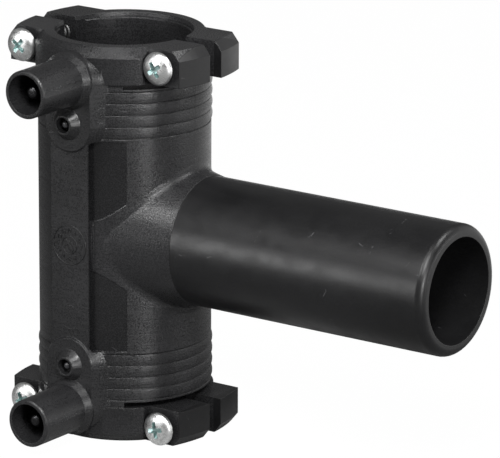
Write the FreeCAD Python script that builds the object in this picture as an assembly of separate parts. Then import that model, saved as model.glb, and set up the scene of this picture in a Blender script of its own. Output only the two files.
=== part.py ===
import FreeCAD, Part
import math
import os

# Electrofusion tee for a 40 mm pipe, in millimetres.
# The run stands along +Z, the branch leaves along +X and the fusion terminals face -Y.
# Heights below are measured up from the lower mouth, on the run's axis.
# The finished pieces are lowered by the socket's depth, which puts the origin at the
# centre of the lower socket's pipe stop.

Vector = FreeCAD.Vector

AXIS_X = Vector(1, 0, 0)
AXIS_Y = Vector(0, 1, 0)
AXIS_Z = Vector(0, 0, 1)

# Pipe that the fitting joins
PIPE_DIAMETER = 40.0
PIPE_RADIUS = PIPE_DIAMETER / 2

# Run: a barrel with a fusion socket in each end
RUN_LENGTH = 124.0
MIDDLE = RUN_LENGTH / 2
SOCKET_CLEARANCE = 0.15
SOCKET_RADIUS = PIPE_RADIUS + SOCKET_CLEARANCE
SOCKET_DEPTH = 44.0
STOP_HEIGHT = 2.8
WAIST_RADIUS = SOCKET_RADIUS - STOP_HEIGHT
BARREL_WALL = 6.35
BARREL_RADIUS = SOCKET_RADIUS + BARREL_WALL

# Rounded bands that mark the fusion zone round each socket
BAND_COUNT = 4
BAND_PITCH = 3.65
BAND_SWELL = 0.35
GROOVE_DEPTH = 0.25
GROOVE_RADIUS = BARREL_RADIUS - GROOVE_DEPTH
BAND_START = 13.5

# Branch: a spigot with the pipe's own outside size on a conical root
BRANCH_LENGTH = 122.0
BRANCH_WALL = 3.75
BRANCH_BORE_RADIUS = PIPE_RADIUS - BRANCH_WALL
BRANCH_EDGE_ROUND = 2.6
ROOT_LENGTH = 4.8
ROOT_END = BARREL_RADIUS + ROOT_LENGTH
ROOT_STEP = 0.15
ROOT_LIFT = 0.2
ROOT_RADIUS = BARREL_RADIUS + ROOT_LIFT
ROOT_FILLET = 2.8

# Clamp ring moulded on each mouth, split into two half rings
RING_HEIGHT = 11.2
RING_LIFT = 0.7
RING_RADIUS = BARREL_RADIUS + RING_LIFT
RING_BEVEL_WIDTH = 2.8
RING_BEVEL_HEIGHT = 3.0
RING_BORE_CLEARANCE = 0.75
RING_BORE_RADIUS = SOCKET_RADIUS + RING_BORE_CLEARANCE
LEAD_IN_WIDTH = 0.4
LEAD_IN_HEIGHT = 1.2
SLIT_HEIGHT = 1.6
BRIDGE_HALF_ANGLE = 35.5
GAP_WIDTH = 5.8

# Gripping pads inside the half rings
PAD_RAISE = 0.35
PAD_HALF_ANGLE = 72.0
PAD_MARGIN = 1.6
PAD_BEVEL = 0.25

# Lugs of the clamp rings, with a slightly arched end
LUG_OVERHANG = 7.0
LUG_REACH = RING_RADIUS + LUG_OVERHANG
LUG_FACE = 15.4
LUG_END_RADIUS = 50.0
LUG_BEVEL_WIDTH = 2.4
LUG_BEVEL_HEIGHT = 3.0

# Clamp screws, which pass the near lug and cut their thread in the far one
SCREW_HEIGHT = 5.4
SCREW_RADIUS = 2.75
SCREW_WALL = 1.95
SCREW_SPREAD = RING_BORE_RADIUS + SCREW_WALL + SCREW_RADIUS
SCREW_LENGTH = 29.0
SCREW_TIP_LENGTH = 2.4
SCREW_TIP_RADIUS = 1.7
SCREW_CLEARANCE = 0.25

# Screw heads, supplied with the clamps still open, and the steps cut for them in the rings
HEAD_RADIUS = 5.15
HEAD_STANDOFF = 1.9
HEAD_SEAT = LUG_FACE + HEAD_STANDOFF
HEAD_RIM_HEIGHT = 0.5
HEAD_SHOULDER_RADIUS = 4.55
HEAD_SHOULDER_HEIGHT = 1.6
HEAD_TOP_RADIUS = 2.9
HEAD_HEIGHT = 2.6
HEAD_CLEARANCE = 0.2

# Cross recess of the screw heads
RECESS_REACH = 2.4
RECESS_SLOT = 1.2
RECESS_DEPTH = 2.0
RECESS_FLOOR_REACH = 1.0
RECESS_FLOOR_SLOT = 0.5

# Pedestals that carry a terminal and an indicator each
PEDESTAL_RISE = 2.4
PEDESTAL_FACE = BARREL_RADIUS + PEDESTAL_RISE
PEDESTAL_HALF_WIDTH = 8.4
PEDESTAL_FLARE = 0.63
TERMINAL_INSET = 10.7
INDICATOR_INSET = 24.0

# Wire bar between the pedestals
BAR_RISE = 1.7
BAR_FACE = BARREL_RADIUS + BAR_RISE
BAR_HALF_WIDTH = 7.0

# Terminal shrouds and their contact pins
SHROUD_HEIGHT = 20.8
SHROUD_MOUTH = PEDESTAL_FACE + SHROUD_HEIGHT
SHROUD_MOUTH_RADIUS = 7.4
SHROUD_ROOT_RADIUS = 7.55
SHROUD_BORE_RADIUS = 6.1
SHROUD_BORE_DEPTH = 12.5
SHROUD_EDGE = 0.45
COLLAR_RADIUS = 8.9
COLLAR_HEIGHT = 2.1
PIN_RADIUS = 2.0
PIN_RECESS = 3.2
PIN_ROUND = 1.2
PIN_SEAT_RADIUS = 3.0
PIN_SEAT_HEIGHT = 1.4

# Fusion indicators
INDICATOR_BASE_RADIUS = 5.0
INDICATOR_RIM_RADIUS = 3.0
INDICATOR_HEIGHT = 2.4
INDICATOR_WELL_RADIUS = 2.4
INDICATOR_WELL_DEPTH = 3.4
INDICATOR_PIN_RADIUS = 1.15
INDICATOR_PIN_RECESS = 0.8
INDICATOR_PIN_ROUND = 0.8
INDICATOR_COVER = 1.9

# Heating wire, bedded in the wall just behind the sockets' surface
WIRE_SIZE = 0.8
WIRE_COVER = 0.3
WIRE_TURNS = 3
WIRE_PITCH = 4.4
WIRE_RADIUS = SOCKET_RADIUS + WIRE_COVER + WIRE_SIZE / 2

# Marking panel, sunk beside the wire bar
PANEL_HALF_HEIGHT = 33.0
PANEL_START_ANGLE = 12.0
PANEL_END_ANGLE = 37.7
PANEL_DEPTH = 0.2
PANEL_ROOT_MARGIN = 1.4

# Length by which cutting tools run past a face
OVERRUN = 2.0


def lathe_z(profile):
    """Solid turned about the run's axis from a list of (radius, height)."""
    points = [Vector(radius, 0, height) for radius, height in profile]
    face = Part.Face(Part.makePolygon(points + points[:1]))
    return face.revolve(Vector(0, 0, 0), AXIS_Z, 360)


def lathe_x(profile):
    """Solid turned about the branch's axis from a list of (distance, radius)."""
    points = [Vector(distance, 0, MIDDLE + radius) for distance, radius in profile]
    face = Part.Face(Part.makePolygon(points + points[:1]))
    return face.revolve(Vector(0, 0, MIDDLE), AXIS_X, 360)


def lathe_y(profile, across, height):
    """Solid turned about a line along Y from a list of (radius, distance in front of the axis)."""
    points = [Vector(across + radius, -distance, height) for radius, distance in profile]
    face = Part.Face(Part.makePolygon(points + points[:1]))
    return face.revolve(Vector(across, 0, height), AXIS_Y, 360)


def at_both_ends(shape):
    """The lower end's shape and its mirror image at the upper end."""
    return [shape, shape.mirror(Vector(0, 0, MIDDLE), AXIS_Z)]


def wedge(radius, bottom, height, start, end):
    """Sector of a cylinder about the run's axis, between two angles from +X."""
    sector = Part.makeCylinder(radius, height, Vector(0, 0, bottom), AXIS_Z, end - start)
    sector.rotate(Vector(0, 0, 0), AXIS_Z, start)
    return sector


def band_arc(bottom, top):
    """Swelling edge of one band, from its lower groove to its upper one."""
    start = Vector(GROOVE_RADIUS, 0, bottom)
    crest = Vector(BARREL_RADIUS + BAND_SWELL, 0, (bottom + top) / 2)
    return Part.Arc(start, crest, Vector(GROOVE_RADIUS, 0, top)).toShape()


def fusion_bands():
    """Ring of rounded bands round the lower socket."""
    grooves = [BAND_START + BAND_PITCH * index for index in range(BAND_COUNT + 1)]
    inner = SOCKET_RADIUS + BARREL_WALL / 2
    outline = [band_arc(low, high) for low, high in zip(grooves, grooves[1:])]
    corners = [(GROOVE_RADIUS, grooves[-1]), (inner, grooves[-1]), (inner, grooves[0]), (GROOVE_RADIUS, grooves[0])]
    points = [Vector(radius, 0, height) for radius, height in corners]
    outline += [Part.makeLine(first, second) for first, second in zip(points, points[1:])]
    face = Part.Face(Part.Wire(Part.__sortEdges__(outline)))
    return face.revolve(Vector(0, 0, 0), AXIS_Z, 360)


def band_seat():
    """Skin taken off the barrel, down to the grooves, where the lower bands replace it."""
    height = BAND_COUNT * BAND_PITCH
    foot = Vector(0, 0, BAND_START)
    return Part.makeCylinder(BARREL_RADIUS + OVERRUN, height, foot).cut(Part.makeCylinder(GROOVE_RADIUS, height, foot))


def root_cone(margin=0.0):
    """Cone that carries the branch, optionally fattened by a margin."""
    end_radius = PIPE_RADIUS + ROOT_STEP
    return lathe_x([(0, 0), (0, ROOT_RADIUS + margin), (ROOT_END + margin, end_radius + margin),
                    (ROOT_END + margin, 0)])


def root_edges(blank):
    """Edges where the cone meets the barrel."""
    found = []
    for edge in blank.Edges:
        faces = blank.ancestorsOfType(edge, Part.Face)
        kinds = sorted(face.Surface.TypeId for face in faces)
        if kinds == ["Part::GeomCone", "Part::GeomCylinder"]:
            box = edge.BoundBox
            if box.XMin > 0 and box.XMax < ROOT_END - ROOT_STEP:
                found.append(edge)
    return found


def barrel():
    """Barrel with the branch's cone blended into it and seats for the bands."""
    length = RUN_LENGTH - 2 * RING_HEIGHT
    plain = Part.makeCylinder(BARREL_RADIUS, length, Vector(0, 0, RING_HEIGHT))
    blank = plain.fuse(root_cone()).removeSplitter()
    return carved(blank.makeFillet(ROOT_FILLET, root_edges(blank)), at_both_ends(band_seat()))


def spigot():
    """Branch pipe with its rounded end, still without its bore."""
    pipe = Part.makeCylinder(PIPE_RADIUS, BRANCH_LENGTH, Vector(0, 0, MIDDLE), AXIS_X)
    rims = [edge for edge in pipe.Edges if edge.BoundBox.XMin > BRANCH_LENGTH - OVERRUN]
    return pipe.makeFillet(BRANCH_EDGE_ROUND, rims)


def ring_blank():
    """Lower clamp ring as a closed ring with its outer bevel."""
    return lathe_z([
        (SOCKET_RADIUS, 0),
        (RING_RADIUS - RING_BEVEL_WIDTH, 0),
        (RING_RADIUS, RING_BEVEL_HEIGHT),
        (RING_RADIUS, RING_HEIGHT),
        (SOCKET_RADIUS, RING_HEIGHT),
    ])


def lug_pair(side):
    """Blank of both lugs on one side of the lower ring, with an arched and bevelled end."""
    profile = [
        (0, 0),
        (LUG_END_RADIUS - LUG_BEVEL_WIDTH, 0),
        (LUG_END_RADIUS, LUG_BEVEL_HEIGHT),
        (LUG_END_RADIUS, RING_HEIGHT),
        (0, RING_HEIGHT),
    ]
    disc = lathe_z(profile)
    disc.translate(Vector(side * (LUG_REACH - LUG_END_RADIUS), 0, 0))
    reach = LUG_REACH + OVERRUN
    corner = Vector(min(0, side * reach), -LUG_FACE, 0)
    return disc.common(Part.makeBox(reach, 2 * LUG_FACE, RING_HEIGHT, corner))


def stadium(distance, half_width, low_reach):
    """Upright outline on a plane in front of the run's axis, round at the top and round or flatter below."""
    low = Vector(0, -distance, TERMINAL_INSET)
    high = Vector(0, -distance, INDICATOR_INSET)
    across = Vector(half_width, 0, 0)
    side_a = Part.makeLine(low + across, high + across)
    side_b = Part.makeLine(high - across, low - across)
    return Part.Wire([side_a, arch(high, half_width, half_width), side_b, arch(low, half_width, -low_reach)])


def arch(centre, half_width, reach):
    """Half circle or flatter half ellipse from +X to -X, over a centre or below it."""
    across = Vector(half_width, 0, 0)
    tall = centre + Vector(0, 0, reach)
    if abs(reach) < half_width:
        curve = Part.Ellipse(centre + across, tall, centre)
        return Part.ArcOfEllipse(curve, 0, math.pi).toShape()
    return Part.Arc(centre + across, tall, centre - across).toShape()


def pedestal():
    """Raised base under a terminal and its indicator, flaring towards the barrel but not towards the mouth."""
    depth = PEDESTAL_FACE - WAIST_RADIUS
    root_half_width = PEDESTAL_HALF_WIDTH + PEDESTAL_FLARE * depth
    front = stadium(PEDESTAL_FACE, PEDESTAL_HALF_WIDTH, PEDESTAL_HALF_WIDTH)
    root = stadium(WAIST_RADIUS, root_half_width, PEDESTAL_HALF_WIDTH)
    return Part.makeLoft([root, front], True, True)


def wire_bar():
    """Flat bar along the front that covers the link wire."""
    length = RUN_LENGTH - 2 * INDICATOR_INSET
    corner = Vector(-BAR_HALF_WIDTH, -BAR_FACE, INDICATOR_INSET)
    return Part.makeBox(2 * BAR_HALF_WIDTH, BAR_FACE - WAIST_RADIUS, length, corner)


def shroud():
    """Tube round the lower contact pin, with the flared collar at its foot."""
    collar_top = PEDESTAL_FACE + COLLAR_HEIGHT
    return lathe_y([
        (0, WAIST_RADIUS),
        (COLLAR_RADIUS, WAIST_RADIUS),
        (COLLAR_RADIUS, PEDESTAL_FACE),
        (SHROUD_ROOT_RADIUS, collar_top),
        (SHROUD_MOUTH_RADIUS, SHROUD_MOUTH - SHROUD_EDGE),
        (SHROUD_MOUTH_RADIUS - SHROUD_EDGE, SHROUD_MOUTH),
        (0, SHROUD_MOUTH),
    ], 0, TERMINAL_INSET)


def indicator_boss():
    """Truncated cone round the lower indicator's well."""
    return lathe_y([
        (0, WAIST_RADIUS),
        (INDICATOR_BASE_RADIUS, WAIST_RADIUS),
        (INDICATOR_BASE_RADIUS, PEDESTAL_FACE),
        (INDICATOR_RIM_RADIUS, PEDESTAL_FACE + INDICATOR_HEIGHT),
        (0, PEDESTAL_FACE + INDICATOR_HEIGHT),
    ], 0, INDICATOR_INSET)


def run_bore():
    """Hollow of the run: clamp mouth, sockets and the waist between their stops."""
    half = [
        (RING_BORE_RADIUS + LEAD_IN_WIDTH, -OVERRUN),
        (RING_BORE_RADIUS + LEAD_IN_WIDTH, 0),
        (RING_BORE_RADIUS, LEAD_IN_HEIGHT),
        (RING_BORE_RADIUS, RING_HEIGHT),
        (SOCKET_RADIUS, RING_HEIGHT),
        (SOCKET_RADIUS, SOCKET_DEPTH),
        (WAIST_RADIUS, SOCKET_DEPTH),
    ]
    other = [(radius, RUN_LENGTH - height) for radius, height in reversed(half)]
    return lathe_z([(0, -OVERRUN)] + half + other + [(0, RUN_LENGTH + OVERRUN)])


def branch_bore():
    """Hollow of the branch, open into the run."""
    length = BRANCH_LENGTH + OVERRUN
    return Part.makeCylinder(BRANCH_BORE_RADIUS, length, Vector(0, 0, MIDDLE), AXIS_X)


def ring_slits():
    """Slits that free the lower half rings from the barrel, beside the two bridges."""
    radius = LUG_REACH + OVERRUN
    reach = 90 - BRIDGE_HALF_ANGLE
    return [wedge(radius, RING_HEIGHT, SLIT_HEIGHT, middle - reach, middle + reach) for middle in (0, 180)]


def ring_gap():
    """Gap that splits the lower ring into two half rings."""
    reach = LUG_REACH + OVERRUN
    corner = Vector(-reach, -GAP_WIDTH / 2, -OVERRUN)
    return Part.makeBox(2 * reach, GAP_WIDTH, RING_HEIGHT + SLIT_HEIGHT + OVERRUN, corner)


def grip_pad(middle):
    """Raised gripping pad inside one lower half ring."""
    inner = RING_BORE_RADIUS - PAD_RAISE
    ring = lathe_z([
        (inner, PAD_MARGIN + PAD_BEVEL),
        (inner + PAD_BEVEL, PAD_MARGIN),
        (RING_BORE_RADIUS + PAD_BEVEL, PAD_MARGIN),
        (RING_BORE_RADIUS + PAD_BEVEL, RING_HEIGHT),
        (inner, RING_HEIGHT),
    ])
    sector = wedge(RING_RADIUS, 0, RING_HEIGHT, middle - PAD_HALF_ANGLE, middle + PAD_HALF_ANGLE)
    return ring.common(sector)


def rod_y(radius, front, back, across, height):
    """Round rod along Y, from a distance in front of the run's axis to one behind it."""
    return Part.makeCylinder(radius, front + back, Vector(across, -front, height), AXIS_Y)


def screw_holes(across):
    """Clearance hole and thread hole for one lower clamp screw."""
    clearance = rod_y(SCREW_RADIUS + SCREW_CLEARANCE, LUG_FACE + OVERRUN, 0, across, SCREW_HEIGHT)
    thread = rod_y(SCREW_RADIUS, 0, LUG_FACE + OVERRUN, across, SCREW_HEIGHT)
    return [clearance, thread]


def head_step(side):
    """Step that makes room for a screw head in the lower ring, in front of the lug."""
    inner = SCREW_SPREAD - HEAD_RADIUS - HEAD_CLEARANCE
    width = LUG_REACH - inner
    depth = RING_RADIUS - LUG_FACE + OVERRUN
    corner = Vector(min(side * inner, side * LUG_REACH), -LUG_FACE - depth, -OVERRUN)
    return Part.makeBox(width, depth, RING_HEIGHT + OVERRUN, corner)


def shroud_well():
    """Hollow of the lower shroud and the seat of its contact pin."""
    floor = SHROUD_MOUTH - SHROUD_BORE_DEPTH
    return rod_y(SHROUD_BORE_RADIUS, SHROUD_MOUTH + OVERRUN, -floor, 0, TERMINAL_INSET)


def indicator_well():
    """Well in the lower indicator's boss."""
    front = PEDESTAL_FACE + INDICATOR_HEIGHT
    floor = front - INDICATOR_WELL_DEPTH
    return rod_y(INDICATOR_WELL_RADIUS, front + OVERRUN, -floor, 0, INDICATOR_INSET)


def marking_panel():
    """Shallow recess in the barrel's wall between the wire bar and the branch."""
    start = PANEL_START_ANGLE - 90
    end = PANEL_END_ANGLE - 90
    bottom = MIDDLE - PANEL_HALF_HEIGHT
    outer = wedge(BARREL_RADIUS + OVERRUN, bottom, 2 * PANEL_HALF_HEIGHT, start, end)
    core = Part.makeCylinder(BARREL_RADIUS - PANEL_DEPTH, 2 * PANEL_HALF_HEIGHT, Vector(0, 0, bottom))
    return outer.cut(core).cut(root_cone(PANEL_ROOT_MARGIN))


def rounded_tip(pin, radius):
    """Pin along Y with its front rim rounded."""
    front = pin.BoundBox.YMin
    rims = [edge for edge in pin.Edges if edge.BoundBox.YMax < front + radius]
    return pin.makeFillet(radius, rims)


def contact_pin():
    """Lower contact pin with the flange that seats on the shroud's floor."""
    tip = SHROUD_MOUTH - PIN_RECESS
    floor = SHROUD_MOUTH - SHROUD_BORE_DEPTH
    pin = lathe_y([
        (0, WIRE_RADIUS + WIRE_SIZE / 2),
        (PIN_RADIUS, WIRE_RADIUS + WIRE_SIZE / 2),
        (PIN_RADIUS, floor),
        (PIN_SEAT_RADIUS, floor),
        (PIN_SEAT_RADIUS, floor + PIN_SEAT_HEIGHT),
        (PIN_RADIUS, floor + PIN_SEAT_HEIGHT),
        (PIN_RADIUS, tip),
        (0, tip),
    ], 0, TERMINAL_INSET)
    return rounded_tip(pin, PIN_ROUND)


def indicator_pin():
    """Lower indicator pin, which the melt pushes out of its well."""
    foot = SOCKET_RADIUS + INDICATOR_COVER
    tip = PEDESTAL_FACE + INDICATOR_HEIGHT - INDICATOR_PIN_RECESS
    pin = lathe_y([
        (0, foot),
        (INDICATOR_PIN_RADIUS, foot),
        (INDICATOR_PIN_RADIUS, tip),
        (0, tip),
    ], 0, INDICATOR_INSET)
    return rounded_tip(pin, INDICATOR_PIN_ROUND)


def wire_square(radius, height):
    """Square section of the wire, in the plane of the terminals."""
    half = WIRE_SIZE / 2
    corners = [(-half, -half), (half, -half), (half, half), (-half, half)]
    points = [Vector(0, -radius + across, height + up) for across, up in corners]
    return Part.makePolygon(points + points[:1])


def coil():
    """Turns of the lower heating coil, which start and end at the front."""
    height = WIRE_TURNS * WIRE_PITCH
    helix = Part.makeHelix(WIRE_PITCH, height, WIRE_RADIUS)
    helix.rotate(Vector(0, 0, 0), AXIS_Z, -90)
    helix.translate(Vector(0, 0, coil_start()))
    path = Part.Wire(helix.Edges)
    return path.makePipeShell([wire_square(WIRE_RADIUS, coil_start())], True, True)


def coil_start():
    """Height of the lower coil's first turn."""
    zone = BAND_COUNT * BAND_PITCH
    return BAND_START + (zone - WIRE_TURNS * WIRE_PITCH) / 2


def straight_wire(bottom, top):
    """Straight stretch of the wire along the front of the wall."""
    corner = Vector(-WIRE_SIZE / 2, -WIRE_RADIUS - WIRE_SIZE / 2, bottom)
    return Part.makeBox(WIRE_SIZE, WIRE_SIZE, top - bottom, corner)


def heating_wire():
    """One wire from pin to pin: a coil round each socket and the link between them."""
    half = WIRE_SIZE / 2
    coil_end = coil_start() + WIRE_TURNS * WIRE_PITCH
    lead = straight_wire(TERMINAL_INSET - half, coil_start() + half)
    link = straight_wire(coil_end - half, RUN_LENGTH - coil_end + half)
    coils = at_both_ends(coil())
    leads = at_both_ends(lead)
    return coils[0].multiFuse([coils[1], link] + leads)


def cross_recess(across, height, face):
    """Tapering cross recess in a screw's head."""
    arms = []
    for turned in (False, True):
        mouth = recess_outline(across, height, face, RECESS_REACH, RECESS_SLOT / 2, turned)
        floor = recess_outline(across, height, face - RECESS_DEPTH, RECESS_FLOOR_REACH, RECESS_FLOOR_SLOT / 2, turned)
        arms.append(Part.makeLoft([mouth, floor], True, True))
    return arms[0].fuse(arms[1])


def recess_outline(across, height, distance, reach, half_slot, turned):
    """Outline of one arm of the cross, on a plane in front of the run's axis."""
    wide, tall = (half_slot, reach) if turned else (reach, half_slot)
    corners = [(-wide, -tall), (wide, -tall), (wide, tall), (-wide, tall)]
    points = [Vector(across + x, -distance, height + z) for x, z in corners]
    return Part.makePolygon(points + points[:1])


def clamp_screw(across, height):
    """Pan head screw with a cross recess and a thread-cutting shank."""
    end = SCREW_LENGTH - HEAD_SEAT
    top = HEAD_SEAT + HEAD_HEIGHT
    body = lathe_y([
        (0, -end),
        (SCREW_TIP_RADIUS, -end),
        (SCREW_RADIUS, SCREW_TIP_LENGTH - end),
        (SCREW_RADIUS, HEAD_SEAT),
        (HEAD_RADIUS, HEAD_SEAT),
        (HEAD_RADIUS, HEAD_SEAT + HEAD_RIM_HEIGHT),
        (HEAD_SHOULDER_RADIUS, HEAD_SEAT + HEAD_SHOULDER_HEIGHT),
        (HEAD_TOP_RADIUS, top),
        (0, top),
    ], across, height)
    return body.cut(cross_recess(across, height, top))


def clamp_screws():
    """The four clamp screws as separate solids."""
    heights = (SCREW_HEIGHT, RUN_LENGTH - SCREW_HEIGHT)
    return [clamp_screw(across, height) for height in heights for across in (-SCREW_SPREAD, SCREW_SPREAD)]


def joined(pieces):
    """One solid from pieces that meet."""
    whole = pieces[0]
    for piece in pieces[1:]:
        whole = whole.fuse(piece)
    return whole


def carved(blank, tools):
    """What is left of a blank when every tool has been cut out of it."""
    for tool in tools:
        blank = blank.cut(tool)
    return blank


def moulding_blank():
    """Outside of the moulding, without its hollows."""
    twins = [fusion_bands(), ring_blank(), lug_pair(-1), lug_pair(1), pedestal(), shroud(), indicator_boss()]
    pieces = [barrel(), spigot(), wire_bar()]
    for twin in twins:
        pieces += at_both_ends(twin)
    return joined(pieces)


def moulding_tools():
    """Every hollow of the moulding, apart from those that its inserts fill."""
    twins = ring_slits() + [ring_gap(), shroud_well(), indicator_well()]
    for side in (-1, 1):
        twins += screw_holes(side * SCREW_SPREAD) + [head_step(side)]
    tools = [run_bore(), branch_bore(), marking_panel()]
    for twin in twins:
        tools += at_both_ends(twin)
    return tools


def tee_body(inserts):
    """The moulding: run, branch, clamp rings, pedestals, bar, shrouds and bosses."""
    hollow = carved(moulding_blank(), moulding_tools())
    pads = at_both_ends(grip_pad(-90)) + at_both_ends(grip_pad(90))
    return carved(joined([hollow] + pads), inserts).removeSplitter()


def main():
    """Build every piece and write one file for each."""
    wire = heating_wire()
    lower_pin, upper_pin = at_both_ends(contact_pin())
    lower_indicator, upper_indicator = at_both_ends(indicator_pin())
    inserts = [wire, lower_pin, upper_pin, lower_indicator, upper_indicator]
    pieces = {
        "tee_body": tee_body(inserts),
        "heating_wire": wire,
        "lower_contact_pin": lower_pin,
        "upper_contact_pin": upper_pin,
        "lower_indicator_pin": lower_indicator,
        "upper_indicator_pin": upper_indicator,
        "clamp_screws": Part.makeCompound(clamp_screws()),
    }
    os.makedirs("parts", exist_ok=True)
    for name, shape in pieces.items():
        shape.translate(Vector(0, 0, -SOCKET_DEPTH))
        shape.exportStep("parts/" + name + ".step")


if __name__ == "__main__":
    main()
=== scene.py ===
"""Looks of a black polyethylene electrofusion tee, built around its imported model.

All sizes are in metres, in the model's own frame: the run stands along +Z, the branch leaves along +X and the
terminals face -Y. The origin is the centre of the lower socket's pipe stop.
"""

import logging
import math
from dataclasses import dataclass
from enum import Enum
from functools import partial, reduce
from itertools import product
from typing import Any, Iterable, Sequence

import bmesh
import bpy
from mathutils import Matrix, Vector


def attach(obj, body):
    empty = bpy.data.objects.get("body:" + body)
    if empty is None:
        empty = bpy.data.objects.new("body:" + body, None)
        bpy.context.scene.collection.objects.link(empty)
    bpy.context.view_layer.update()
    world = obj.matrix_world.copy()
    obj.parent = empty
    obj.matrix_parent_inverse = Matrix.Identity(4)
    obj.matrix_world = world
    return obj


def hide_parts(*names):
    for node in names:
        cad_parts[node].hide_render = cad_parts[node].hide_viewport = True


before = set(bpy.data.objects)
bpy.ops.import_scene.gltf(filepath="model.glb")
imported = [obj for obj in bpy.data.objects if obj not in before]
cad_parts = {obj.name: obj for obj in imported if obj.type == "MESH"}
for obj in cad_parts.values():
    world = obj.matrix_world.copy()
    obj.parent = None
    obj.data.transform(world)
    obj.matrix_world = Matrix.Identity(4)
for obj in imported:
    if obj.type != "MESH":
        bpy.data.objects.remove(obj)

Socket = bpy.types.NodeSocket
BMesh = bmesh.types.BMesh

LOG = logging.getLogger("electrofusion_tee")
MM = 0.001
# The part's one body
BODY = "root"
# Where the branch's axis meets the run's
CROSSING = Vector((0.0, 0.0, 18.0 * MM))
MERGE_DISTANCE = 1e-7
EDGE_SAMPLES = 6
WHITE = (1.0, 1.0, 1.0, 1.0)
# Values between which most of a noise pattern lies
NOISE_SPAN = (0.3, 0.7)
# Turn of each screw's cross in degrees: lower left, lower right, upper left, upper right
CROSS_TURNS = (28.0, 12.0, 52.0, 33.0)


class Side(Enum):
    """The two sides of the run, seen from the terminals."""

    LEFT = -1.0
    RIGHT = 1.0


class End(Enum):
    """The two ends of the run, by the height of their clamp screws."""

    LOWER = -38.6 * MM
    UPPER = 74.6 * MM


def towards(azimuth: float, elevation: float = 0.0) -> Vector:
    """Gives the unit vector from the part towards an azimuth and elevation in degrees."""
    turn, rise = math.radians(azimuth), math.radians(elevation)
    return Vector((math.sin(turn) * math.cos(rise), -math.cos(turn) * math.cos(rise), math.sin(rise)))


@dataclass(frozen=True)
class Noise:
    """Settings of a noise pattern.

    Attributes:
        scale: Features in one metre, along all axes or each.
        layers: Number of finer layers.
        rough: Strength of the finer layers.
    """

    scale: float | tuple[float, float, float]
    layers: float
    rough: float


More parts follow.
